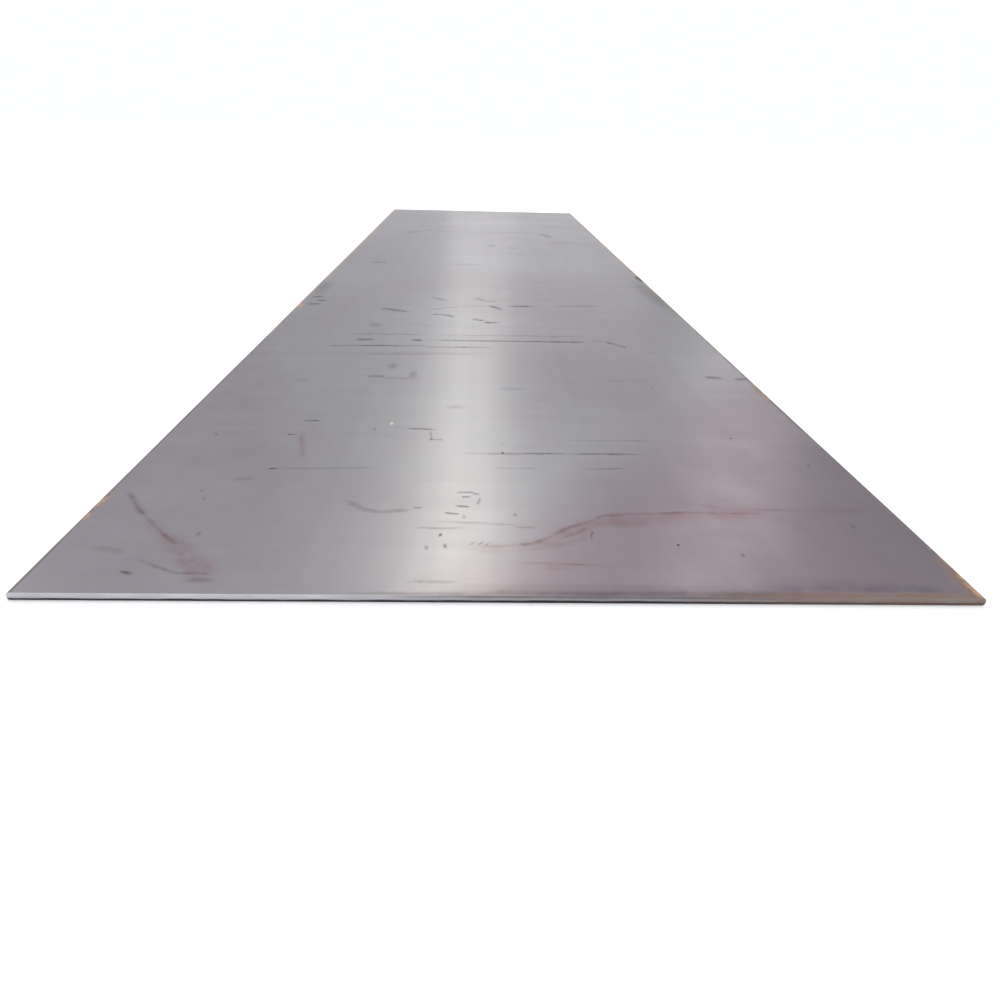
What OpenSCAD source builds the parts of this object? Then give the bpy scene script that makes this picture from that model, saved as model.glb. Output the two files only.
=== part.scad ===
// Hot-rolled steel plate, cut to length from a wide coil.
// The two long sides keep the rounded edge that the rolling mill left on them.
// The two ends were cut on a guillotine shear. The near end was cut as it lay on the table, so the blade
// came in from above. The far end was cut off past the table, so its cut runs the other way up.
// Origin: middle of the underside. X runs across the plate, Y along the rolling direction, Z up.

/* [Plate] */
// Width over the two long sides
plate_width = 1500; // [600:10:2500]
// Length over the two cut ends
plate_length = 6000; // [1000:10:12000]
// Thickness between the two rolled faces
plate_thickness = 12; // [6:0.5:25]

/* [Long sides] */
// How far the middle of a long side stands out past its corners
side_crown = 1.6; // [0.4:0.1:2.5]
// Radius where a long side turns into a rolled face
side_corner_radius = 2; // [0.5:0.1:2.8]

/* [Cut ends] */
// Radius pulled into the edge by the blade as it came in
rollover_radius = 1.2; // [0.4:0.1:2]
// Share of the thickness that the blade cut cleanly before the rest tore
clean_cut_share = 0.35; // [0.2:0.01:0.5]
// How far the torn face falls back from the clean cut, which is the gap between the blades
blade_gap = 0.8; // [0.2:0.1:2]

/* [Hidden] */
$fn = 96;

half_width = plate_width / 2;
half_length = plate_length / 2;
half_thickness = plate_thickness / 2;

// A long side is one shallow arc, its crown, which runs into a smaller arc at each corner.
// Each small arc touches the crown arc from inside and the rolled face from below.
crown_radius = (pow(half_thickness, 2) + pow(side_crown, 2)) / (2 * side_crown);
corner_rise = half_thickness - side_corner_radius;
corner_reach = sqrt(pow(crown_radius - side_corner_radius, 2) - pow(corner_rise, 2));
crown_centre = half_width - crown_radius;
corner_centre = crown_centre + corner_reach;

// The crown arc ends on the lines from its own centre through the corner centres.
wedge_length = crown_radius / corner_reach;

clean_cut = clean_cut_share * plate_thickness;

// One long side in section, with mid-thickness at y = 0 and the plate's middle at x = 0
module long_side_outline() {
    for (face = [-1, 1])
        translate([corner_centre, face * corner_rise])
            circle(r = side_corner_radius);
    intersection() {
        translate([crown_centre, 0])
            circle(r = crown_radius);
        translate([crown_centre, 0])
            polygon([
                [0, 0],
                wedge_length * [corner_reach, -corner_rise],
                wedge_length * [corner_reach, corner_rise],
            ]);
    }
}

// The rolled section, across the plate
module rolled_section() {
    square([2 * corner_centre, plate_thickness], center = true);
    long_side_outline();
    mirror([1, 0])
        long_side_outline();
}

// Half of the plate's side view, out to one cut end. The blade came in at the top, y = plate_thickness
module cut_end_outline() {
    cut_top = plate_thickness - rollover_radius;
    polygon([
        [0, 0],
        [half_length - blade_gap, 0],
        [half_length, cut_top - clean_cut],
        [half_length, cut_top],
        [half_length - rollover_radius, plate_thickness],
        [0, plate_thickness],
    ]);
    translate([half_length - rollover_radius, cut_top])
        circle(r = rollover_radius);
}

// The whole side view: the far end has the same cut upside down
module side_view() {
    mirror([1, 0])
        cut_end_outline();
    translate([0, plate_thickness])
        mirror([0, 1])
            cut_end_outline();
}

// The bar that leaves the rolls, and the slice that the shear takes out of it
module steel_plate() {
    color([0.57, 0.56, 0.58])
        intersection() {
            translate([0, half_length, half_thickness])
                rotate([90, 0, 0])
                    linear_extrude(height = plate_length)
                        rolled_section();
            translate([-half_width, 0, 0])
                rotate([90, 0, 90])
                    linear_extrude(height = plate_width)
                        side_view();
        }
}

steel_plate();
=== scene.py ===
"""Hot-rolled steel plate with mill scale, rounded mill edges and sheared ends, in a pale studio."""

import math

import bpy
import numpy as np
from mathutils import Matrix, Vector


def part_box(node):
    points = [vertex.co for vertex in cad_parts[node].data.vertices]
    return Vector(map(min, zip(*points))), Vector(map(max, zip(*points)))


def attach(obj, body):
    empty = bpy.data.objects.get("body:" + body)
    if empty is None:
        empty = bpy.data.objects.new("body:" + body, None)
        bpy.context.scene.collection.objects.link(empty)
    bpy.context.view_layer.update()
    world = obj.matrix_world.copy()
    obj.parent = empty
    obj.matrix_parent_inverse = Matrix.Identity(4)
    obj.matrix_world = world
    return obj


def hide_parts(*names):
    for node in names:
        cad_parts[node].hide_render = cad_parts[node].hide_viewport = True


bl_info = {
    "name": "Hot-rolled steel plate",
    "version": (1, 0, 0),
    "blender": (4, 5, 0),
    "location": "View3D > Sidebar > Steel plate",
    "description": "Builds a hot-rolled steel plate with mill scale, mill edges and sheared ends",
    "category": "Add Mesh",
}

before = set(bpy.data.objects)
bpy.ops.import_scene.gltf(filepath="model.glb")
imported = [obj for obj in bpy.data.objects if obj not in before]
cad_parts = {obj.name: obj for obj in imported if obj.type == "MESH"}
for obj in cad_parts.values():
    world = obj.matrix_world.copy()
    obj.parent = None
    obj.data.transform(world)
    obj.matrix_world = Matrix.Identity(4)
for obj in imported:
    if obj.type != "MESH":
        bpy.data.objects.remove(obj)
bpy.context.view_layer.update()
PLATE_LOW, PLATE_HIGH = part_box("steel_plate")
PLATE_WIDTH = PLATE_HIGH.x - PLATE_LOW.x
PLATE_LENGTH = PLATE_HIGH.y - PLATE_LOW.y
PLATE_THICKNESS = PLATE_HIGH.z - PLATE_LOW.z

MM = 0.001

# Lines of the skin's mesh, in millimetres: heights from the nearer rolled face, insets from the long sides
# and from the cuts, where the lines lie closer, and the steps between them elsewhere.
LEVELS = (0.0, 0.15, 0.6, 1.2, 2.2, 3.3, 4.4, 5.4)
SIDE_INSETS = (0, 1.5, 5, 12, 24)
CUT_INSETS = (0, 4, 8, 16, 30)
COLUMN_STEP = 13.9
ROW_STEP = 19.2

# Kinds of rim that a mark can have. Each is the share of the mark's reach over which it is at full strength,
# and the share of its length over which it keeps its full width before it tapers.
RIMS = {"crisp": (0.2, 0.35), "soft": (0.05, 0.2)}

# Marks on the top face, by kind. A kind has its width in millimetres, its strength and its marks' paths.
# A path's points are millimetres to the right of the middle line and millimetres from the near cut. A path
# of one point is a spot, and paths that lie on each other add up. Width and length are where a mark is half
# gone.

# Dark lines and spots: roll marks across the plate, oil and soot.
DARK_MARKS = (
    # Roll lines
    (14, 0.6, (
        ((-450, 1475), (-225, 1485)), ((-190, 1560), (310, 1565)), ((195, 1565), (310, 1565)),
        ((390, 1575), (415, 1545), (445, 1505)),
        ((-210, 1470), (-60, 1475)),
    )),
    # Faint roll lines
    (13, 0.35, (
        ((-520, 1465), (-450, 1470)), ((-70, 1475), (0, 1480)), ((-470, 1625), (-235, 1635)),
        ((-155, 1630), (305, 1645)), ((350, 1600), (390, 1575)),
        ((-235, 2030), (-125, 2095), (0, 2110)),
    )),
    # Dabs that the rolls pressed in
    (22, 0.75, (
        ((-720, 2240), (-680, 2245)), ((-690, 2170), (-655, 2175)), ((-715, 2100), (-670, 2105)),
        ((-415, 2040), (-315, 1995)), ((5, 2130), (50, 2055)), ((85, 2120), (185, 2130)),
        ((-65, 1890), (-25, 1860)), ((-20, 1830), (30, 1835)), ((-445, 1555), (-390, 1555)),
        ((-265, 1555), (-230, 1555)),
    )),
    # Fainter dabs
    (22, 0.5, (
        ((-235, 2285), (-170, 2205)),
        ((-55, 2280), (-15, 2220), (35, 2215)),
        ((275, 2145), (440, 2160)),
        ((-215, 1950), (-170, 1955), (-135, 1915)),
        ((625, 1180), (675, 1170)), ((705, 1160), (745, 1165)), ((-355, 1135), (-310, 1140)),
    )),
    # Broad dabs of the far half
    (45, 0.55, (
        ((10, 3870), (70, 3880)), ((140, 3800), (180, 3800)), ((375, 4510), (435, 4340)),
        ((-595, 3155), (-520, 3165)),
    )),
    # Narrow roll lines of the near part
    (9, 0.45, (
        ((-10, 570), (145, 575)), ((165, 575), (310, 575)), ((-210, 720), (-145, 715)),
        ((-155, 650), (-125, 650)),
    )),
    # Hairlines
    (8, 0.22, (
        ((-75, 570), (0, 570)), ((320, 1130), (445, 1140)), ((170, 655), (350, 660)),
        ((-10, 490), (75, 490)), ((180, 490), (270, 495)), ((-455, 475), (-260, 485)),
        ((-110, 245), (25, 235)), ((-150, 220), (-70, 220)),
        ((-590, 100), (-520, 60), (-465, 60)),
        ((-155, 40), (-80, 40)),
    )),
    # Flecks
    (7, 0.55, (
        ((-460, 765), (-425, 765)), ((-480, 670), (-460, 670)), ((-475, 475), (-460, 475)),
        ((-85, 370), (-55, 370)), ((-55, 365), (-40, 360)), ((-75, 350), (-60, 350)),
        ((-85, 310), (-60, 305)), ((-165, 300), (-150, 300)), ((-105, 280), (-80, 275)),
        ((-605, 65), (-585, 55)),
    )),
    # Ticks along the plate
    (4, 0.4, (
        ((-155, 705), (-150, 645)), ((-40, 345), (-45, 315)), ((160, 215), (155, 185)),
        ((-60, 160), (-50, 170)), ((-45, 160), (-35, 170)), ((-30, 160), (-20, 170)),
    )),
    # Spots
    (12, 0.6, (
        ((10, 575),), ((-285, 710),), ((-110, 195),), ((-100, 155),), ((405, 130),),
    )),
    # Fainter spots
    (14, 0.3, (
        ((10, 630),), ((675, 525),), ((-575, 365),), ((-560, 330),), ((25, 275),),
        ((-70, 265),), ((645, 240),), ((-525, 190),), ((-130, 150),),
    )),
    # Tar on the right edge
    (24, 1.0, (
        ((735, 2880), (740, 2740)), ((740, 2860), (740, 2760)),
    )),
)

# Soft dark marks: oil and soot that ran thin or was wiped, and painted shade along the near cut and the far
# cut.
SOFT_MARKS = (
    # Wiped lines across the far half, and in the last path painted shade along the far cut
    (48, 0.3, (
        ((-510, 4325), (-455, 4525), (-360, 4570), (-75, 4505), (325, 4555)),
        ((390, 4920), (675, 4975)), ((-480, 4835), (-390, 4850)), ((385, 4010), (575, 4110)),
        ((115, 3540), (295, 3565)), ((-175, 3140), (-10, 3160)), ((-470, 5975), (545, 5980)),
    )),
    # Stains at the long edges
    (70, 0.42, (((710, 2700), (735, 2100)),)),
    (50, 0.35, (((-715, 2550), (-715, 2320)),)),
    # Smudges
    (55, 0.35, (
        ((-430, 1760), (-390, 1765)), ((-310, 1245), (-285, 1245)), ((-240, 1165), (-220, 1165)),
    )),
    # Wiped lines of the near half
    (24, 0.25, (
        ((-425, 1375), (-45, 1400)), ((-305, 1120), (-220, 1120)), ((-545, 1085), (-515, 1085)),
        ((20, 1040), (80, 1040)), ((-120, 880), (-80, 880)),
    )),
    # Smears
    (13, 0.32, (
        ((-290, 325), (-255, 290), (-225, 280), (-175, 290)),
        ((-495, 40), (-455, 40)),
    )),
    # Thin smears
    (14, 0.2, (
        ((-705, 350), (-670, 290), (-645, 260)),
        ((-680, 140), (-630, 125)), ((-535, 420), (-495, 425)),
    )),
    # Painted shade along the near cut, where its edge rolls over
    (16, 0.36, (((-90, 7), (200, 7), (560, 7)),)),
    (30, 0.18, (((-60, 20), (200, 20), (420, 15)),)),
    (9, 0.3, (((-230, 5), (-60, 5)),)),
)

# Red-brown lines where water stood and dried along a scratch.
RUST_LINES = (
    (9, 0.65, (
        ((25, 160), (50, 165), (80, 190), (120, 225), (160, 250), (190, 275)),
        ((190, 275), (225, 280), (275, 285), (360, 290), (485, 290)),
    )),
    (7, 0.5, (
        ((-35, 155), (25, 160)),
        ((100, 185), (130, 205), (150, 225)),
        ((40, 100), (155, 95)), ((25, 225), (60, 225)),
    )),
    (11, 0.5, (((490, 305), (575, 305)),)),
    (8, 0.55, (((-705, 350), (-670, 290), (-645, 260), (-585, 190), (-550, 150)),)),
    (6, 0.3, (((-450, 675), (-420, 550)),)),
)

# Thin films of the same rust, which spread down from those lines.
RUST_FILMS = (
    # A rosy cast on the right
    (500, 0.3, (((300, 2650), (330, 1300)),)),
    # Broad films
    (44, 0.8, (
        ((190, 260), (270, 265)),
        ((-550, 150), (-515, 105), (-470, 55)),
    )),
    (60, 0.35, (((-720, 985), (-670, 935)),)),
    # Films beside the lines
    (30, 0.6, (
        ((20, 150), (60, 160), (100, 195), (150, 235), (195, 260)),
        ((270, 265), (360, 280)), ((360, 285), (490, 290)), ((410, 305), (490, 305)),
        ((-55, 145), (10, 145)),
        ((-560, 165), (-515, 105), (-465, 45)),
        ((-625, 240), (-585, 190), (-550, 150)),
    )),
    # Narrow films
    (16, 0.65, (
        ((45, 150), (65, 150), (105, 165), (150, 195)),
        ((65, 85), (105, 85)), ((-450, 690), (-420, 540)), ((385, 320), (415, 320)),
    )),
    # Faint films
    (22, 0.38, (
        ((575, 305), (700, 305)), ((400, 270), (500, 275)), ((185, 245), (305, 245)),
        ((-450, 715), (-415, 715)), ((485, 45), (620, 45)),
    )),
)

# Orange rust that creeps in from the edges.
RIM_RUST = (
    (24, 0.75, (
        ((-745, 1985), (-745, 2135)), ((745, 1110), (745, 945)),
    )),
    (12, 0.85, (
        ((-745, 370), (-745, 285), (-745, 230)),
        ((745, 75), (745, 35)), ((745, 45), (745, 0)),
    )),
    (7, 0.6, (
        ((745, 165), (745, 155)), ((745, 130), (745, 65)),
    )),
)

# Brown rust along the near cut.
BROWN_RUST = (
    (15, 0.85, (
        ((430, 8), (600, 8), (740, 8)),
        ((740, 120), (740, 60)),
    )),
    (30, 0.8, (((740, 70), (740, 5)),)),
    (14, 0.45, (((310, 5), (430, 5)),)),
)

# Blue-grey heat tint near the cut, where the scale is thinnest.
HEAT_TINTS = (
    (30, 0.3, (((395, 30), (500, 30), (590, 25), (700, 25)),)),
    (18, 0.55, (
        ((430, 25), (470, 25)), ((480, 25), (530, 25)), ((555, 25), (620, 25)), ((640, 25), (690, 25)),
    )),
)

# Bright places where the scale is rubbed off or has flaked.
BARE_MARKS = (
    (110, 0.2, (((-740, 5955), (-480, 5965)),)),
    (200, 0.15, (((-300, 5075), (365, 5210)),)),
    (15, 1.0, (((-250, 750),),)),
)

# Stretches of the length that have a material each: their ends in metres from the middle, and the size in
# millimetres of the ragged grain that breaks up the marks there. The real grain is finer than these, and it
# is drawn coarser further off so that it still shows.
STRETCHES = (
    ("near_end", -3.1, -2.75, 8),
    ("near_part", -2.75, -2.56, 8),
    ("near_middle", -2.56, -2.08, 9),
    ("middle", -2.08, -1.28, 14),
    ("far_middle", -1.28, -0.45, 16),
    ("far_end", -0.45, 3.1, 20),
)

# Soft lights that stand round the plate and face it: how far round each is, in degrees from the far end, and
# its distance from the plate's middle, then its left, right, foot and top, in metres, its brightness, where 1
# is paper white, and its colour. Mirrored in the plate they are the sheen on it.
LIGHT_PANELS = (
    ("sheen_low", 0, 5.5, -0.36, 0.4, 0.3, 1.7, 0.52, "#FFFDFA"),
    ("sheen_middle", 0, 5.5, -0.5, 0.22, 1.7, 3.2, 1.65, "#FFFEF5"),
    ("sheen_high", 0, 5.5, -0.62, 0.14, 3.2, 5.2, 3.2, "#FCFFEE"),
    ("sheen_top", 0, 5.5, -0.9, 0.3, 5.2, 12.0, 4.75, "#FAFFEA"),
    ("low_strip", 0, 5.5, -2.0, 2.4, 0.02, 0.4, 0.25, "#FFFDFA"),
    ("right_low", 0, 5.5, 0.4, 2.0, 0.1, 2.0, 0.26, "#FFFDFA"),
    ("left_wide", 0, 5.5, -6.0, -3.2, 1.5, 6.0, 0.14, "#FFFDFA"),
    ("right_high", 0, 5.5, 0.6, 2.4, 4.9, 10.0, 0.38, "#FFFDFA"),
    ("right_far", 0, 5.5, 2.8, 4.2, 2.3, 6.5, 1.3, "#FFFDFA"),
    ("back_left", 62, 9.0, -2.0, 2.0, 1.0, 7.5, 0.65, "#FFFDFA"),
    ("front_right", 242, 9.0, -2.0, 2.0, 1.0, 7.5, 0.65, "#FFFDFA"),
)


def linear(hex_colour):
    """The linear RGBA colour of an sRGB hex value."""
    channels = [int(hex_colour[start : start + 2], 16) / 255 for start in (1, 3, 5)]
    light = [c / 12.92 if c <= 0.04045 else ((c + 0.055) / 1.055) ** 2.4 for c in channels]
    return (*light, 1.0)


def repeats(size_mm):
    """The texture scale, per metre, at which a pattern's features are about this many millimetres."""
    return 1000.0 / size_mm


def add_node(tree, kind, inputs=None, **settings):
    """Adds a node, sets its settings, and gives each input a value, a socket or another node's output."""
    node = tree.nodes.new("ShaderNode" + kind)
    for name, value in settings.items():
        setattr(node, name, value)
    for key, value in (inputs or {}).items():
        if isinstance(key, int):
            socket = node.inputs[key]
        else:
            socket = next(s for s in node.inputs if s.enabled and s.name == key)
        if isinstance(value, bpy.types.Node):
            value = next(s for s in value.outputs if s.enabled)
        if isinstance(value, bpy.types.NodeSocket):
            tree.links.new(value, socket)
        else:
            socket.default_value = value
    return node


def new_material(name):
    """A new material, its node tree and its shader."""
    material = bpy.data.materials.new(name)
    material.use_nodes = True
    return material, material.node_tree, material.node_tree.nodes["Principled BSDF"]


def add_object(scene, name, data):
    """Adds an object with this mesh, light or camera to the scene."""
    item = bpy.data.objects.new(name, data)
    scene.collection.objects.link(item)
    return item


def colour_property(name, description, hex_colour):
    """A colour that shows as a swatch in the sidebar."""
    return bpy.props.FloatVectorProperty(
        name=name,
        description=description,
        default=linear(hex_colour),
        size=4,
        min=0.0,
        max=1.0,
        subtype="COLOR",
    )


def length_property(name, description, millimetres):
    """A length in the scene's units."""
    return bpy.props.FloatProperty(
        name=name,
        description=description,
        default=millimetres * MM,
        min=0.0,
        precision=5,
        unit="LENGTH",
    )


class PlateShape(bpy.types.PropertyGroup):
    """Sizes of the plate's edges and of its lie on the floor."""

    side_crown: length_property("Side crown", "How far the middle of a long side stands out", 1.6)
    side_corner: length_property("Side corner", "Radius where a long side meets a rolled face", 2.0)
    rollover: length_property("Rollover", "Radius that the shear blade pulled into the edge", 1.2)
    blade_gap: length_property("Blade gap", "How far the torn face falls back from the clean cut", 0.8)
    clean_cut: length_property("Clean cut", "Height of the band that the blade cut before the rest tore", 4.2)
    lift: length_property("Lift", "Highest lift of the underside where the plate isn't quite flat", 1.5)


class PlateFinish(bpy.types.PropertyGroup):
    """Colours of the scale, the rust and the cut steel."""

    scale_cool: colour_property("Cool scale", "Grey of the scale that cooled slowly", "#98969B")
    scale_violet: colour_property("Violet scale", "Grey of the thinner scale", "#82767D")
    # This dark tint also paints the shade along the near and far cuts.
    soot_and_shade: colour_property("Dark marks", "Tint of oil, soot and roll marks over the scale", "#605B5C")
    rust_deep: colour_property("Deep rust", "Tint of rust that stood along a scratch", "#D4BCB4")
    rust_film: colour_property("Rust film", "Tint of thin rust over the scale", "#F1E2E1")
    rust_rim: colour_property("Rim rust", "Open rust along the edges", "#AE8D70")
    rust_brown: colour_property("Brown rust", "Old rust along the near cut", "#7C6354")
    rim_dark: colour_property("Dark rim", "Oil that crept round the long edges", "#625F60")
    heat_tint: colour_property("Heat tint", "Tint of the thin oxide near the cut", "#DEDFE6")
    bare: colour_property("Rubbed scale", "Places where the scale is rubbed or flaked", "#CFCCC8")
    cut_bright: colour_property("Bright cut", "Steel that the blade left bright", "#BCBBC1")
    cut_grey: colour_property("Grey cut", "Steel that the blade left duller", "#9A9597")
    # The torn steel's dark grey is also painted shade at the foot of the near cut.
    torn_cut_and_shade: colour_property("Torn cut", "Steel that tore and went dark", "#4E4A4C")


class PlateStage(bpy.types.PropertyGroup):
    """Floor, light and camera."""

    floor: colour_property("Floor", "Pale painted floor", "#FAFAFA")
    sky: colour_property("Sky", "White all round, a little cool as daylight is", "#FBFCFF")
    sky_level: bpy.props.FloatProperty(
        name="Sky level",
        description="Brightness of the white all round, where 1 is paper white",
        default=1.03,
        min=0.0,
    )
    panel_level: bpy.props.FloatProperty(
        name="Panel level",
        description="Brightness of all the soft lights",
        default=1.0,
        min=0.0,
    )
    lens: bpy.props.FloatProperty(
        name="Lens",
        description="Focal length in millimetres, on a sensor 36 mm wide",
        default=27.68,
        min=1.0,
        unit="CAMERA",
    )
    camera_place: bpy.props.FloatVectorProperty(
        name="Camera",
        description="Where the camera stands",
        default=(-0.0522, -3.9916, 0.6557),
        size=3,
        subtype="TRANSLATION",
        unit="LENGTH",
    )
    camera_turn: bpy.props.FloatVectorProperty(
        name="Camera turn",
        description="Turn to the right, tilt down, and roll",
        default=[math.radians(angle) for angle in (2.188, 25.805, 1.547)],
        size=3,
        subtype="EULER",
        unit="ROTATION",
    )


def even_with_close_ends(half, insets, step):
    """Places from -half to half: each inset from both ends, and evenly about one step apart between."""
    inner = half - insets[-1]
    count = max(2, round(2 * inner / step))
    middle = np.linspace(-inner, inner, count + 1)
    close = np.array(insets[:-1])
    return np.concatenate([close - half, middle, half - close[::-1]])


def side_reach(heights, shape):
    """How far a long side reaches from the middle of the plate, at each height."""
    half_thickness = PLATE_THICKNESS / 2
    crown = (half_thickness**2 + shape.side_crown**2) / (2 * shape.side_crown)
    corner = shape.side_corner
    rise = half_thickness - corner
    reach = math.sqrt((crown - corner) ** 2 - rise**2)
    crown_centre = PLATE_WIDTH / 2 - crown
    corner_centre = crown_centre + reach
    from_middle = np.abs(heights - half_thickness)
    on_crown = crown_centre + np.sqrt(np.maximum(crown**2 - from_middle**2, 0))
    in_corner = np.clip(from_middle - rise, 0, corner)
    on_corner = corner_centre + np.sqrt(np.maximum(corner**2 - in_corner**2, 0))
    crown_ends = crown * rise / (crown - corner)
    return np.where(from_middle <= crown_ends, on_crown, on_corner), corner_centre


def cut_back(depth, shape):
    """How far a sheared end falls back from its furthest point, at each depth below the blade's side."""
    in_rollover = np.clip(shape.rollover - depth, 0, shape.rollover)
    rounded = shape.rollover - np.sqrt(shape.rollover**2 - in_rollover**2)
    torn_start = shape.rollover + shape.clean_cut
    torn = np.clip((depth - torn_start) / (PLATE_THICKNESS - torn_start), 0, 1)
    return rounded + shape.blade_gap * torn


def lie(x, y, shape):
    """Lift of the plate off the floor: a long bow, waves along the edges, and one bend in the far half."""
    # Each wave's share of the height, and its length and shift along the plate in metres
    bow_share, bow_length, bow_shift = 0.28, 2.3, 0.35
    left_share, left_length, left_shift = 0.16, 0.83, -0.2
    right_share, right_length, right_shift = 0.16, 0.97, 0.1
    dish_share = 0.12
    # Lengths, across and along the plate, of the two slanted waves that make the swirl
    swirl_share = 0.1
    one_across, one_along = 0.9, 1.7
    two_across, two_along = 2.1, 0.76
    bend_share, bend_place, bend_slant, bend_width = 0.14, 1.52, 0.02, 0.05
    lowest, highest = -0.62, 0.72

    turn = 2 * np.pi
    across = x / (PLATE_WIDTH / 2)
    bow = bow_share * np.cos(turn * (y + bow_shift) / bow_length) + dish_share * across**2
    left_wave = left_share * np.sin(turn * (y + left_shift) / left_length) * np.clip(-across, 0, 1) ** 3
    right_wave = right_share * np.sin(turn * (y + right_shift) / right_length) * np.clip(across, 0, 1) ** 3
    slant_one = np.sin(turn * (x / one_across + y / one_along))
    slant_two = np.cos(turn * (y / two_along - x / two_across))
    swirl = swirl_share * slant_one * slant_two
    bend = bend_share * np.tanh((y - bend_place - bend_slant * x) / bend_width)
    height = bow + left_wave + right_wave + swirl + bend
    return shape.lift * np.clip((height - lowest) / (highest - lowest), 0, 1)


def plate_mesh(shape):
    """One closed skin: a box of quads whose sides follow the mill edge and whose ends follow the shear."""
    thickness = PLATE_THICKNESS
    half_length = PLATE_LENGTH / 2
    sharp_edge = math.radians(40)
    low_levels = np.array(LEVELS) * MM
    levels = np.concatenate([low_levels, [thickness / 2], thickness - low_levels[::-1]])
    reach, flat_half = side_reach(levels, shape)
    columns = even_with_close_ends(flat_half, np.array(SIDE_INSETS) * MM, COLUMN_STEP * MM)
    rows = even_with_close_ends(half_length, np.array(CUT_INSETS) * MM, ROW_STEP * MM)
    near_end = -half_length + cut_back(thickness - levels, shape)
    far_end = half_length - cut_back(levels, shape)
    last_i, last_j, last_k = len(columns) - 1, len(rows) - 1, len(levels) - 1

    i, j, k = np.meshgrid(np.arange(last_i + 1), np.arange(last_j + 1), np.arange(last_k + 1), indexing="ij")
    skin = (i == 0) | (i == last_i) | (j == 0) | (j == last_j) | (k == 0) | (k == last_k)
    index = np.full(skin.shape, -1)
    index[skin] = np.arange(skin.sum())
    x = columns[i]
    x = np.where(i == 0, -reach[k], np.where(i == last_i, reach[k], x))
    y = rows[j]
    y = np.where(j == 0, near_end[k], np.where(j == last_j, far_end[k], y))
    z = levels[k] + lie(x, y, shape)
    points = np.stack([x[skin], y[skin], z[skin]], axis=1)

    def quads(grid):
        """The quads of one side of the box, counter-clockwise as its grid of points runs."""
        corners = (grid[:-1, :-1], grid[1:, :-1], grid[1:, 1:], grid[:-1, 1:])
        return np.stack([corner.ravel() for corner in corners], axis=1)

    top, under, edge, end = 0, len(STRETCHES), len(STRETCHES) + 1, len(STRETCHES) + 2
    sides = (
        (quads(index[:, :, last_k]), top),
        (quads(index[:, :, 0].T), under),
        (quads(index[0, :, :].T), edge),
        (quads(index[last_i, :, :]), edge),
        (quads(index[:, 0, :]), end),
        (quads(index[:, last_j, :].T), end),
    )
    faces = np.concatenate([side for side, _ in sides])
    finish_index = np.concatenate([np.full(len(side), number) for side, number in sides])
    top_count = len(sides[0][0])
    middles = points[faces[:top_count]].mean(axis=1)[:, 1]
    for number, (_, low, high, _) in enumerate(STRETCHES):
        finish_index[:top_count][(middles >= low) & (middles < high)] = number
    mesh = bpy.data.meshes.new("hot_rolled_plate")
    mesh.from_pydata(points.tolist(), [], faces.tolist())
    mesh.polygons.foreach_set("material_index", finish_index.astype(np.int32))
    mesh.polygons.foreach_set("use_smooth", np.ones(len(faces), dtype=bool))
    mesh.set_sharp_from_angle(angle=sharp_edge)
    lay_out_bake_map(mesh, points, faces, sides)
    mesh.validate()
    mesh.update()
    return mesh


def lay_out_bake_map(mesh, points, faces, sides):
    """Lays the skin out flat: the top face in four large squares, the rest in the margin round them."""
    panels = 4
    panel = PLATE_LENGTH / panels
    gap = 0.01
    large = 0.43
    small = 0.1
    under_left = 0.89
    long_strip = 0.86
    strips_foot = 0.9
    strip_step = 0.02
    strip = 0.012
    highest = 1.2
    counts = np.cumsum([0] + [len(side) for side, _ in sides])
    corner_places = points[faces]
    middle = corner_places.mean(axis=1)
    number = np.clip(((middle[:, 1] + PLATE_LENGTH / 2) // panel).astype(int), 0, panels - 1)
    u = (corner_places[:, :, 0] + PLATE_WIDTH / 2) / PLATE_WIDTH
    along = (corner_places[:, :, 1] + PLATE_LENGTH / 2) / PLATE_LENGTH
    v = along * panels - number[:, None]
    height = np.clip(corner_places[:, :, 2] / PLATE_THICKNESS, 0, highest) / highest
    flat = np.zeros((len(faces), 4, 2))
    top = slice(counts[0], counts[1])
    flat[top, :, 0] = gap + (large + gap) * (number[top, None] % 2) + large * u[top]
    flat[top, :, 1] = gap + (large + gap) * (number[top, None] // 2) + large * v[top]
    under = slice(counts[1], counts[2])
    flat[under, :, 0] = under_left + small * u[under]
    flat[under, :, 1] = gap + (small + gap) * number[under, None] + small * v[under]
    for side in (2, 3, 4, 5):
        part = slice(counts[side], counts[side + 1])
        is_long = side < 4
        flat[part, :, 0] = gap + (long_strip * along[part] if is_long else large * u[part])
        flat[part, :, 1] = strips_foot + strip_step * (side - 2) + strip * height[part]
    layer = mesh.uv_layers.new(name="OFBake")
    layer.uv.foreach_set("vector", flat.reshape(-1).astype(np.float32))


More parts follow.
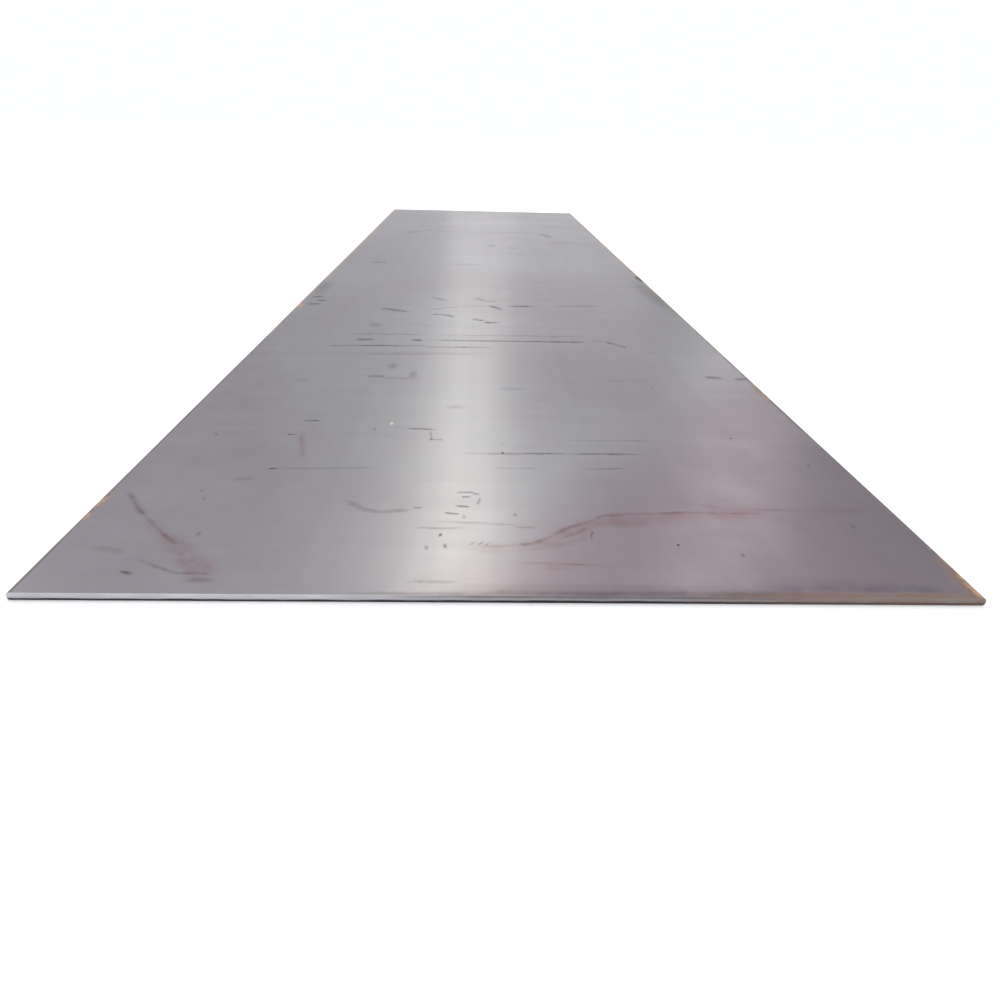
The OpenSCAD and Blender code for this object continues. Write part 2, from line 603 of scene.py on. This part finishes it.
def mark_group(rim):
    """One spindle-shaped mark on the face: full along its middle, and fading to nothing at its rim.

    X and Y of its vector are the place on the face. Z carries the sum of the marks so far from one mark to
    the next, because Cycles runs out of room for a shader that works out all of its marks side by side.
    """
    full_share, even_share = RIMS[rim]
    group = bpy.data.node_groups.new(rim + " mark on the rolled face", "ShaderNodeTree")
    sockets = (
        ("Place", "NodeSocketVector"),
        ("Middle", "NodeSocketVector"),
        ("Turn", "NodeSocketVector"),
        ("Reach", "NodeSocketVector"),
        ("Strength", "NodeSocketFloat"),
    )
    for name, kind in sockets:
        group.interface.new_socket(name, in_out="INPUT", socket_type=kind)
    group.interface.new_socket("Place", in_out="OUTPUT", socket_type="NodeSocketVector")
    given = group.nodes.new("NodeGroupInput").outputs
    result = group.nodes.new("NodeGroupOutput")
    frame_of_mark = {
        "Vector": given["Place"],
        "Location": given["Middle"],
        "Rotation": given["Turn"],
        "Scale": given["Reach"],
    }
    local = add_node(group, "Mapping", frame_of_mark, vector_type="TEXTURE")
    mirrored = add_node(group, "VectorMath", {0: local}, operation="ABSOLUTE")
    taper = 1 / (1 - even_share)
    past_even = {0: mirrored, 1: (taper, 1.0, 1.0), 2: (-even_share * taper, 0.0, 0.0)}
    in_taper = add_node(group, "VectorMath", past_even, operation="MULTIPLY_ADD")
    outward = add_node(group, "VectorMath", {0: in_taper, 1: (0.0, 0.0, 0.0)}, operation="MAXIMUM")
    off_middle = add_node(group, "VectorMath", {0: outward}, operation="LENGTH").outputs["Value"]
    fade = {"Value": off_middle, "From Min": 1.0, "From Max": full_share, "To Max": given["Strength"]}
    mask = add_node(group, "MapRange", fade, interpolation_type="SMOOTHSTEP")
    sum_up = {0: mask, 1: (0.0, 0.0, 1.0), 2: given["Place"]}
    passed_on = add_node(group, "VectorMath", sum_up, operation="MULTIPLY_ADD")
    group.links.new(passed_on.outputs[0], result.inputs["Place"])
    return group


def segments_between(marks, low, high):
    """The straight pieces of these marks that reach into this stretch of the length, in millimetres."""
    # Room for the push that makes the marks ragged
    room = 40
    pieces = []
    for width, strength, paths in marks:
        half_spot = Vector((width / 4, 0.0))
        reach = width + room
        for path in paths:
            points = [Vector((x, from_cut + PLATE_LOW.y / MM)) for x, from_cut in path]
            if len(points) == 1:
                points = [points[0] - half_spot, points[0] + half_spot]
            for start, end in zip(points, points[1:]):
                if max(start.y, end.y) + reach >= low / MM and min(start.y, end.y) - reach <= high / MM:
                    pieces.append((start, end, width, strength))
    return pieces


def sum_of_marks(tree, place, groups, rim, pieces):
    """How strongly these pieces cover each place, from 0 to 1. Pieces that meet end to end add up to full."""
    no_reach = 1e6
    full_share, even_share = RIMS[rim]
    half_gone = (1 + full_share) / 2
    half_gone_along = even_share + (1 - even_share) * half_gone
    carried = add_node(tree, "VectorMath", {0: place, 1: (1.0, 1.0, 0.0)}, operation="MULTIPLY")
    for start, end, width, strength in pieces:
        along = end - start
        middle = (start + end) / 2 * MM
        inputs = {
            "Place": carried,
            "Middle": (middle.x, middle.y, 0.0),
            "Turn": (0.0, 0.0, math.atan2(along.y, along.x)),
            "Reach": (along.length / 2 / half_gone_along * MM, width / 2 / half_gone * MM, no_reach),
            "Strength": strength,
        }
        carried = add_node(tree, "Group", inputs, node_tree=groups[rim])
    total = add_node(tree, "SeparateXYZ", {0: carried}).outputs["Z"]
    return add_node(tree, "Clamp", {0: total})


def rolled_face(finish, groups, name, low, high, ragged, marked=True):
    """Mill scale on hot-rolled steel: the oxide skin that grew on the hot plate and was pressed smooth.

    To the eye it is a dark mirror gone dull: a grey sheen that drifts between blue-grey and violet where
    its thickness drifts, drawn out along the rolling direction, with thin rust where water stood. It is
    opaque and mirrors as a dark metal does, but less than one at a glance, which the specular tint gives.
    Each stretch of the length has a material of its own, with only the marks that lie there.
    """
    material, tree, shader = new_material("mill_scale_" + name)
    half_width = PLATE_WIDTH / 2
    mirror_at_a_glance = (0.72, 0.72, 0.72, 1.0)
    place = add_node(tree, "TexCoord").outputs["Object"]
    parts = add_node(tree, "SeparateXYZ", {0: place}).outputs

    # Scale thickness drifts over about a metre and in patches of a hand's width.
    drift = add_node(tree, "TexNoise", {"Vector": place, "Scale": repeats(900), "Detail": 2.0})
    cloudy = {"Vector": place, "Scale": repeats(160), "Detail": 5.0, "Roughness": 0.6}
    clouds = add_node(tree, "TexNoise", cloudy)
    patchy = add_node(tree, "Math", {0: clouds, 1: 0.8, 2: drift}, operation="MULTIPLY_ADD")
    wandering = {"Value": patchy, "From Min": 0.75, "From Max": 1.05, "To Min": 0.05, "To Max": 0.42}
    wander = add_node(tree, "MapRange", wandering)

    # It is thinnest, and most violet, at the near right, and a little so along the near left. At the near
    # right its darker violet grey also paints the shade there.
    near_right = add_node(tree, "VectorMath", {0: place, 1: (1.5, -1.0, 0.0)}, operation="DOT_PRODUCT")
    to_right = {0: patchy, 1: 0.5, 2: near_right.outputs["Value"]}
    to_right = add_node(tree, "Math", to_right, operation="MULTIPLY_ADD")
    violet_and_shade_reach = {"Value": to_right, "From Min": 2.95, "From Max": 3.65}
    violet_and_shade_right = add_node(tree, "MapRange", violet_and_shade_reach, interpolation_type="SMOOTHSTEP")
    to_left = add_node(tree, "Math", {0: parts["Y"], 1: 0.3, 2: parts["X"]}, operation="MULTIPLY_ADD")
    thin_left = {"Value": to_left, "From Min": -1.04, "From Max": -1.29, "To Max": 0.45}
    violet_left = add_node(tree, "MapRange", thin_left, interpolation_type="SMOOTHSTEP")
    violet = add_node(tree, "Math", {0: violet_and_shade_right, 1: violet_left}, operation="MAXIMUM")
    violet = add_node(tree, "Math", {0: violet, 1: wander}, operation="MAXIMUM")
    hue = {"Factor": violet, "A": finish.scale_cool, "B": finish.scale_violet}
    colour = add_node(tree, "Mix", hue, data_type="RGBA")

    # Bands along the rolling direction, streaks across it and those patches shade the scale.
    drawn_out = add_node(tree, "Mapping", {"Vector": place, "Scale": (repeats(45), repeats(3500), 1.0)})
    bands = add_node(tree, "TexNoise", {"Vector": drawn_out, "Scale": 1.0, "Detail": 4.0})
    drawn_across = add_node(tree, "Mapping", {"Vector": place, "Scale": (repeats(900), repeats(60), 1.0)})
    streaky = {"Vector": drawn_across, "Scale": 1.0, "Detail": 5.0, "Roughness": 0.7}
    streaks = add_node(tree, "TexNoise", streaky)
    mottle = add_node(tree, "Math", {0: bands, 1: 0.4, 2: clouds}, operation="MULTIPLY_ADD")
    mottle = add_node(tree, "Math", {0: streaks, 1: 0.6, 2: mottle}, operation="MULTIPLY_ADD")
    shades = {"Value": mottle, "From Min": 0.7, "From Max": 1.3, "To Min": 0.91, "To Max": 1.09}
    tone = add_node(tree, "MapRange", shades)
    # Towards the right long side the scale is painted darker: painted shade.
    right_painted_shade_reach = {"Value": parts["X"], "From Min": 0.5, "From Max": half_width, "To Min": 1.0, "To Max": 0.92}
    right_painted_shade = add_node(tree, "MapRange", right_painted_shade_reach)
    tone = add_node(tree, "Math", {0: tone, 1: right_painted_shade}, operation="MULTIPLY")
    toned = {"Factor": 1.0, "A": colour, "B": tone}
    colour = add_node(tree, "Mix", toned, data_type="RGBA", blend_type="MULTIPLY")
    glossy = {"Value": mottle, "From Min": 0.7, "From Max": 1.3, "To Min": 0.33, "To Max": 0.285}
    roughness = add_node(tree, "MapRange", glossy)

    # Specks of roll dirt, 6 mm wide and about a hand apart.
    cells = add_node(tree, "TexVoronoi", {"Vector": place, "Scale": repeats(150)}, feature="F1")
    speck = add_node(tree, "MapRange", {"Value": cells, "From Min": 0.025, "From Max": 0.015})
    specked = {"Factor": speck, "A": colour, "B": finish.soot_and_shade}
    colour = add_node(tree, "Mix", specked, data_type="RGBA", blend_type="MULTIPLY")

    # Oil and rust crept in over the long edges, a little further towards the far end.
    from_middle = add_node(tree, "Math", {0: parts["X"]}, operation="ABSOLUTE")
    along = {
        "Value": parts["Y"],
        "From Min": PLATE_LOW.y,
        "From Max": PLATE_HIGH.y,
        "To Min": half_width - 9 * MM,
        "To Max": half_width - 22 * MM,
    }
    inner = add_node(tree, "MapRange", along)
    full = half_width - 3.5 * MM
    crept = add_node(tree, "MapRange", {"Value": from_middle, "From Min": inner, "From Max": full})
    creeping = {"Vector": place, "Scale": repeats(240), "Detail": 4.0, "Roughness": 0.6}
    creep = add_node(tree, "TexNoise", creeping)
    reach = add_node(tree, "MapRange", {"Value": creep, "From Min": 0.3, "From Max": 0.5, "To Min": 0.3})
    rust = add_node(tree, "Math", {0: crept, 1: reach}, operation="MULTIPLY")

    # The creep is oil along the near half, and rust along the far half.
    to_rust = add_node(tree, "Math", {0: parts["Y"], 1: 0.25, 2: creep}, operation="MULTIPLY_ADD")
    rusted = add_node(tree, "MapRange", {"Value": to_rust, "From Min": 0.1, "From Max": 0.4})
    rim_hue = {"Factor": rusted, "A": finish.rim_dark, "B": finish.rust_rim}
    rim_colour = add_node(tree, "Mix", rim_hue, data_type="RGBA")
    rimmed = {"Factor": rust, "A": colour, "B": rim_colour}
    colour = add_node(tree, "Mix", rimmed, data_type="RGBA")

    if marked:
        # The marks follow a place that is pushed about, so that none is ruled and their rims are ragged.
        shaken = {"Vector": place, "Scale": repeats(6 * ragged), "Detail": 5.0, "Roughness": 0.7}
        push = add_node(tree, "TexNoise", shaken)
        halves = {0: push.outputs["Color"], 1: (0.5, 0.5, 0.5)}
        centred = add_node(tree, "VectorMath", halves, operation="SUBTRACT")
        slight = {0: centred, 1: (12 * MM, 1.3 * ragged * MM, 0.0), 2: place}
        pushed = add_node(tree, "VectorMath", slight, operation="MULTIPLY_ADD")

        # The rolls left a fine grain across the plate, which breaks up what was pressed or rubbed on.
        across = add_node(tree, "Mapping", {"Vector": place, "Scale": (repeats(60), repeats(ragged), 1.0)})
        grain = add_node(tree, "TexNoise", {"Vector": across, "Scale": 1.0, "Detail": 3.0, "Roughness": 0.6})
        gaps = {"Value": grain, "From Min": 0.38, "From Max": 0.58, "To Min": 0.7, "To Max": 1.25}
        fibres = add_node(tree, "MapRange", gaps)
        crumbled = {"Vector": place, "Scale": repeats(1.6 * ragged), "Detail": 3.0, "Roughness": 0.6}
        crumbs = add_node(tree, "TexNoise", crumbled)
        holes = {"Value": crumbs, "From Min": 0.42, "From Max": 0.56, "To Min": 0.75, "To Max": 1.3}
        crumbs = add_node(tree, "MapRange", holes)
        broken = add_node(tree, "Math", {0: fibres, 1: crumbs}, operation="MULTIPLY")

        # Rust and heat tint lie softer, in patches of a few centimetres.
        soft_patches = {"Vector": place, "Scale": repeats(30), "Detail": 4.0}
        thinning = add_node(tree, "TexNoise", soft_patches)
        softly = {"Value": thinning, "From Min": 0.35, "From Max": 0.6, "To Min": 0.4, "To Max": 1.15}
        soft = add_node(tree, "MapRange", softly)
        gently = {"Value": thinning, "From Min": 0.35, "From Max": 0.6, "To Min": 0.75, "To Max": 1.1}
        gentle = add_node(tree, "MapRange", gently)
        flakes = {"Value": thinning, "From Min": 0.4, "From Max": 0.55}
        flaky = {"Factor": add_node(tree, "MapRange", flakes), "A": finish.rust_brown, "B": finish.rust_rim}
        open_rust = add_node(tree, "Mix", flaky, data_type="RGBA")
        # Marks, their colour, how it is laid on, their rim, what breaks them up, and if they are open rust
        layers = (
            (HEAT_TINTS, finish.heat_tint, "MULTIPLY", "soft", soft, False),
            (RUST_FILMS, finish.rust_film, "MULTIPLY", "soft", soft, False),
            (SOFT_MARKS, finish.soot_and_shade, "MULTIPLY", "soft", gentle, False),
            (BARE_MARKS, finish.bare, "MIX", "soft", soft, False),
            (RUST_LINES, finish.rust_deep, "MULTIPLY", "soft", soft, False),
            (BROWN_RUST, finish.rust_brown, "MIX", "soft", soft, True),
            (RIM_RUST, open_rust, "MIX", "crisp", soft, True),
            (DARK_MARKS, finish.soot_and_shade, "MULTIPLY", "crisp", broken, False),
        )
        for marks, layer_colour, blend, rim, break_up, is_open_rust in layers:
            here = segments_between(marks, low, high)
            if not here:
                continue
            cover = sum_of_marks(tree, pushed, groups, rim, here)
            cover = add_node(tree, "Math", {0: cover, 1: break_up}, operation="MULTIPLY")
            covered = {"Factor": cover, "A": colour, "B": layer_colour}
            colour = add_node(tree, "Mix", covered, data_type="RGBA", blend_type=blend)
            if is_open_rust:
                rust = add_node(tree, "Math", {0: rust, 1: cover}, operation="MAXIMUM")

    dulled = {"Factor": rust, "A": roughness, "B": 0.7}
    roughness = add_node(tree, "Mix", dulled, data_type="FLOAT")
    metal = add_node(tree, "MapRange", {"Value": rust, "To Min": 1.0, "To Max": 0.4})
    tree.links.new(colour.outputs[2], shader.inputs["Base Color"])
    tree.links.new(roughness.outputs[0], shader.inputs["Roughness"])
    tree.links.new(metal.outputs[0], shader.inputs["Metallic"])
    shader.inputs["Specular Tint"].default_value = mirror_at_a_glance

    # The rolls left the face a few hundredths of a millimetre uneven, over a few centimetres.
    waves = add_node(tree, "TexNoise", {"Vector": place, "Scale": repeats(45), "Detail": 1.0})
    relief = add_node(tree, "Bump", {"Height": waves, "Strength": 1.0, "Distance": 0.05 * MM})
    tree.links.new(relief.outputs[0], shader.inputs["Normal"])
    return material


def mill_edge(finish):
    """The rounded side that the mill left: scale that cracked over the bend, and rust in patches.

    To the eye it is a thin matt line, mauve-grey and orange by turns.
    """
    material, tree, shader = new_material("rusted_mill_edge")
    place = add_node(tree, "TexCoord").outputs["Object"]
    patchy = {"Vector": place, "Scale": repeats(90), "Detail": 6.0, "Roughness": 0.7}
    patches = add_node(tree, "TexNoise", patchy)
    rust = add_node(tree, "MapRange", {"Value": patches, "From Min": 0.4, "From Max": 0.62})
    rusted = {"Factor": rust, "A": finish.scale_violet, "B": finish.rust_rim}
    colour = add_node(tree, "Mix", rusted, data_type="RGBA")
    tree.links.new(colour.outputs[2], shader.inputs["Base Color"])
    dull = add_node(tree, "MapRange", {"Value": rust, "To Min": 0.42, "To Max": 0.8})
    tree.links.new(dull.outputs[0], shader.inputs["Roughness"])
    iron_oxide_ior = 2.4
    shader.inputs["IOR"].default_value = iron_oxide_ior
    cracks = add_node(tree, "TexNoise", {"Vector": place, "Scale": repeats(4), "Detail": 3.0})
    relief = add_node(tree, "Bump", {"Height": cracks, "Strength": 0.3, "Distance": 0.4 * MM})
    tree.links.new(relief.outputs[0], shader.inputs["Normal"])
    return material


def sheared_end(finish):
    """Steel cut on a guillotine: a burnished band on the blade's side, and beyond it a torn face, painted
    dark, which at the foot of the near end is also painted shade under the plate.

    The blade came from above at the near end and from below at the far end, so the band is at the top of
    the one and at the foot of the other. It is brightest at the left, and rust has dulled it at the right.
    """
    material, tree, shader = new_material("steel_sheared")
    place = add_node(tree, "TexCoord").outputs["Object"]
    parts = add_node(tree, "SeparateXYZ", {0: place}).outputs

    # Depth below the blade's side, counted from the middle of the thickness.
    end_sign = add_node(tree, "Math", {0: parts["Y"]}, operation="SIGN")
    height = add_node(tree, "Math", {0: parts["Z"], 1: PLATE_THICKNESS / 2}, operation="SUBTRACT")
    depth = add_node(tree, "Math", {0: height, 1: end_sign}, operation="MULTIPLY")

    # The tear starts deeper at the left than at the right, on a line that wanders.
    patches = add_node(tree, "TexNoise", {"Vector": place, "Scale": repeats(45), "Detail": 4.0})
    sideways = {"Value": parts["X"], "From Min": -0.3, "From Max": 0.1}
    by_side = add_node(tree, "MapRange", sideways)
    tear_line = add_node(tree, "MapRange", {"Value": by_side, "To Min": 3.8 * MM, "To Max": 2.7 * MM})
    wander = add_node(tree, "Math", {0: patches, 1: 4 * MM, 2: depth}, operation="MULTIPLY_ADD")
    past_line = add_node(tree, "Math", {0: wander, 1: tear_line}, operation="SUBTRACT")
    tear = {"Value": past_line, "From Min": -1.2 * MM, "From Max": 1.2 * MM}
    torn = add_node(tree, "MapRange", tear, interpolation_type="SMOOTHSTEP")
    burnished = {"Factor": by_side, "A": finish.cut_bright, "B": finish.cut_grey}
    colour = add_node(tree, "Mix", burnished, data_type="RGBA")
    uneven = {"Value": patches, "From Min": 0.3, "From Max": 0.7, "To Min": 0.88, "To Max": 1.08}
    toned = {"Factor": 1.0, "A": colour, "B": add_node(tree, "MapRange", uneven)}
    colour = add_node(tree, "Mix", toned, data_type="RGBA", blend_type="MULTIPLY")

    # The painted shade along the near cut of the top face runs on over the top of the cut face, right of the
    # middle.
    shade_middle = 150 * MM
    from_shade_middle = add_node(tree, "Math", {0: parts["X"], 1: shade_middle}, operation="SUBTRACT")
    from_shade_middle = add_node(tree, "Math", {0: from_shade_middle}, operation="ABSOLUTE")
    beside = {"Value": from_shade_middle, "From Min": 450 * MM, "From Max": 120 * MM, "To Max": 0.55}
    beside = add_node(tree, "MapRange", beside, interpolation_type="SMOOTHSTEP")
    near_top = {"Value": parts["Z"], "From Min": 7.5 * MM, "From Max": 11.0 * MM, "To Max": beside}
    painted_shade_top = {"Factor": add_node(tree, "MapRange", near_top), "A": colour, "B": finish.soot_and_shade}
    colour = add_node(tree, "Mix", painted_shade_top, data_type="RGBA", blend_type="MULTIPLY")
    # The torn face is painted dark; at the foot of the near cut this is also painted shade under the plate.
    torn_dark_and_shade = {"Factor": torn, "A": colour, "B": finish.torn_cut_and_shade}
    colour = add_node(tree, "Mix", torn_dark_and_shade, data_type="RGBA")

    # A thin rust over the right end.
    right = add_node(tree, "MapRange", {"Value": parts["X"], "From Min": 0.25, "From Max": 0.45})
    thin = {"Value": patches, "From Min": 0.3, "From Max": 0.7, "To Min": 0.4, "To Max": 0.75}
    rust = add_node(tree, "Math", {0: right, 1: add_node(tree, "MapRange", thin)}, operation="MULTIPLY")
    rusted = {"Factor": rust, "A": colour, "B": finish.rust_brown}
    colour = add_node(tree, "Mix", rusted, data_type="RGBA")
    tree.links.new(colour.outputs[2], shader.inputs["Base Color"])
    metal = add_node(tree, "MapRange", {"Value": rust, "To Min": 1.0, "To Max": 0.4})
    tree.links.new(metal.outputs[0], shader.inputs["Metallic"])
    dull = add_node(tree, "Math", {0: torn, 1: rust}, operation="MAXIMUM")
    roughness = add_node(tree, "MapRange", {"Value": dull, "To Min": 0.45, "To Max": 0.8})
    tree.links.new(roughness.outputs[0], shader.inputs["Roughness"])
    drawn_down = add_node(tree, "Mapping", {"Vector": place, "Scale": (repeats(3), repeats(3), repeats(20))})
    tears = add_node(tree, "TexNoise", {"Vector": drawn_down, "Scale": 1.0, "Detail": 3.0})
    relief = add_node(tree, "Bump", {"Height": tears, "Strength": 0.4, "Distance": 0.4 * MM})
    tree.links.new(relief.outputs[0], shader.inputs["Normal"])
    return material


class STEELPLATE_OT_plate(bpy.types.Operator):
    """Build the plate's skin over the CAD node and give it its finishes"""

    bl_idname = "steel_plate.build_plate"
    bl_label = "Build plate"

    def execute(self, context):
        scene = context.scene
        finish = scene.plate_finish
        mesh = plate_mesh(scene.plate_shape)
        groups = {rim: mark_group(rim) for rim in RIMS}
        for name, low, high, ragged in STRETCHES:
            mesh.materials.append(rolled_face(finish, groups, name, low, high, ragged))
        mesh.materials.append(rolled_face(finish, groups, "underside", *STRETCHES[0][1:], marked=False))
        mesh.materials.append(mill_edge(finish))
        mesh.materials.append(sheared_end(finish))
        plate = add_object(scene, "hot_rolled_plate", mesh)
        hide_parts("steel_plate")
        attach(plate, "root")
        return {"FINISHED"}


class STEELPLATE_OT_stage(bpy.types.Operator):
    """Lay the floor, set the lights and stand the camera at the near end"""

    bl_idname = "steel_plate.set_stage"
    bl_label = "Set stage"

    def execute(self, context):
        scene = context.scene
        stage = scene.plate_stage
        self.lay_floor(scene, stage)
        self.set_light(scene, stage)
        self.stand_camera(scene, stage)
        scene.view_settings.view_transform = "Standard"
        return {"FINISHED"}

    def lay_floor(self, scene, stage):
        """A wide matt floor, painted nearly white."""
        half = 60.0
        mesh = bpy.data.meshes.new("floor")
        corners = [(-half, -half, 0), (half, -half, 0), (half, half, 0), (-half, half, 0)]
        mesh.from_pydata(corners, [], [(0, 1, 2, 3)])
        material, _, shader = new_material("painted_floor")
        shader.inputs["Base Color"].default_value = stage.floor
        shader.inputs["Roughness"].default_value = 0.9
        mesh.materials.append(material)
        floor = add_object(scene, "floor", mesh)

    def set_light(self, scene, stage):
        """White all round and brighter overhead, and tall soft lights whose sheen runs down the plate."""
        world = bpy.data.worlds.new("studio")
        world.use_nodes = True
        scene.world = world
        tree = world.node_tree
        direction = add_node(tree, "TexCoord").outputs["Generated"]
        height = add_node(tree, "SeparateXYZ", {0: direction}).outputs["Z"]
        overhead = {"Value": height, "From Min": 0.42, "From Max": 0.9, "To Min": 1.0, "To Max": 1.35}
        level = add_node(tree, "MapRange", overhead)

        # The belt of sky that the face mirrors towards the camera is a little darker.
        belt_height, belt_half, belt_depth = 0.37, 0.18, 0.22
        off_dip = add_node(tree, "Math", {0: height, 1: belt_height}, operation="SUBTRACT")
        off_dip = add_node(tree, "Math", {0: off_dip}, operation="ABSOLUTE")
        belt = {"Value": off_dip, "From Max": belt_half, "To Min": belt_depth, "To Max": 0.0}
        dip = add_node(tree, "MapRange", belt)
        level = add_node(tree, "Math", {0: level, 1: dip}, operation="SUBTRACT")
        level = add_node(tree, "Math", {0: level, 1: stage.sky_level}, operation="MULTIPLY")
        tree.links.new(level.outputs[0], tree.nodes["Background"].inputs["Strength"])
        tree.nodes["Background"].inputs["Color"].default_value = stage.sky

        for name, bearing, distance, left, right, foot, top, share, hex_colour in LIGHT_PANELS:
            light = bpy.data.lights.new(name, "AREA")
            light.shape = "RECTANGLE"
            light.size = right - left
            light.size_y = top - foot
            light.color = linear(hex_colour)[:3]
            light.energy = share * stage.panel_level * math.pi * light.size * light.size_y
            panel = add_object(scene, name, light)
            round_plate = Matrix.Rotation(math.radians(bearing), 4, "Z")
            middle = Matrix.Translation(((left + right) / 2, distance, (foot + top) / 2))
            panel.matrix_world = round_plate @ middle @ Matrix.Rotation(math.radians(-90), 4, "X")
            panel.visible_camera = False

    def stand_camera(self, scene, stage):
        """A camera held just past the near end, with a phone's wide lens."""
        turn, tilt, roll = stage.camera_turn
        forward = Vector((math.sin(turn) * math.cos(tilt), math.cos(turn) * math.cos(tilt), -math.sin(tilt)))
        level = Vector((math.cos(turn), -math.sin(turn), 0.0))
        upright = level.cross(forward)
        right = math.cos(roll) * level + math.sin(roll) * upright
        up = math.cos(roll) * upright - math.sin(roll) * level
        data = bpy.data.cameras.new("camera")
        data.sensor_width = 36.0
        data.lens = stage.lens
        data.clip_end = 200.0
        camera = add_object(scene, "camera", data)
        axes = Matrix((right, up, -forward)).transposed().to_4x4()
        camera.matrix_world = Matrix.Translation(stage.camera_place) @ axes
        scene.camera = camera


class STEELPLATE_PT_sidebar(bpy.types.Panel):
    """The plate's settings and the two steps that build it"""

    bl_idname = "STEELPLATE_PT_sidebar"
    bl_label = "Steel plate"
    bl_space_type = "VIEW_3D"
    bl_region_type = "UI"
    bl_category = "Steel plate"

    def draw(self, context):
        scene = context.scene
        for title, settings in (
            ("Shape", scene.plate_shape),
            ("Finish", scene.plate_finish),
            ("Stage", scene.plate_stage),
        ):
            box = self.layout.box()
            box.label(text=title)
            for name in settings.__annotations__:
                box.prop(settings, name)
        self.layout.operator(STEELPLATE_OT_plate.bl_idname)
        self.layout.operator(STEELPLATE_OT_stage.bl_idname)


CLASSES = (
    PlateShape,
    PlateFinish,
    PlateStage,
    STEELPLATE_OT_plate,
    STEELPLATE_OT_stage,
    STEELPLATE_PT_sidebar,
)


def register():
    for cls in CLASSES:
        bpy.utils.register_class(cls)
    bpy.types.Scene.plate_shape = bpy.props.PointerProperty(type=PlateShape)
    bpy.types.Scene.plate_finish = bpy.props.PointerProperty(type=PlateFinish)
    bpy.types.Scene.plate_stage = bpy.props.PointerProperty(type=PlateStage)


def unregister():
    del bpy.types.Scene.plate_stage
    del bpy.types.Scene.plate_finish
    del bpy.types.Scene.plate_shape
    for cls in reversed(CLASSES):
        bpy.utils.unregister_class(cls)


def main():
    """Builds the plate and its stage."""
    register()
    bpy.ops.steel_plate.build_plate()
    bpy.ops.steel_plate.set_stage()


if __name__ == "__main__":
    main()
